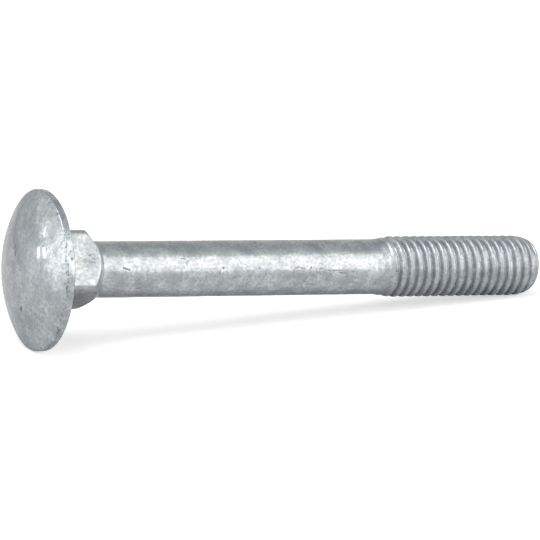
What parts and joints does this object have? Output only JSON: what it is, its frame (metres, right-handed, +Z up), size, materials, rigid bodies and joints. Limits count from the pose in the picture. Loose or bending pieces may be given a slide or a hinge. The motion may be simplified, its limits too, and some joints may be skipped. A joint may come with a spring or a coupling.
{
  "type": "carriage bolt",
  "caption": "Galvanised carriage bolt with a mushroom head, a square neck, a plain reduced shank and a coarse right-hand thread at its end, lying on its side.",
  "frame": {"origin": "on the surface that the bolt lies on, under the middle of its length and width", "axes": "+X from the head to the thread end, +Y across the bolt, +Z up. The bolt lies on its head's rim and on a crest near its tip, so its own axis falls by about five degrees towards +X"},
  "size_m": [0.1066, 0.0292, 0.0293],
  "materials": {
    "galvanised_steel": "hot-dip galvanised zinc, satin and cloudy, with small pits and beads"
  },
  "bodies": {
    "root": {"carriage_bolt": "galvanised_steel"}
  },
  "joints": []
}
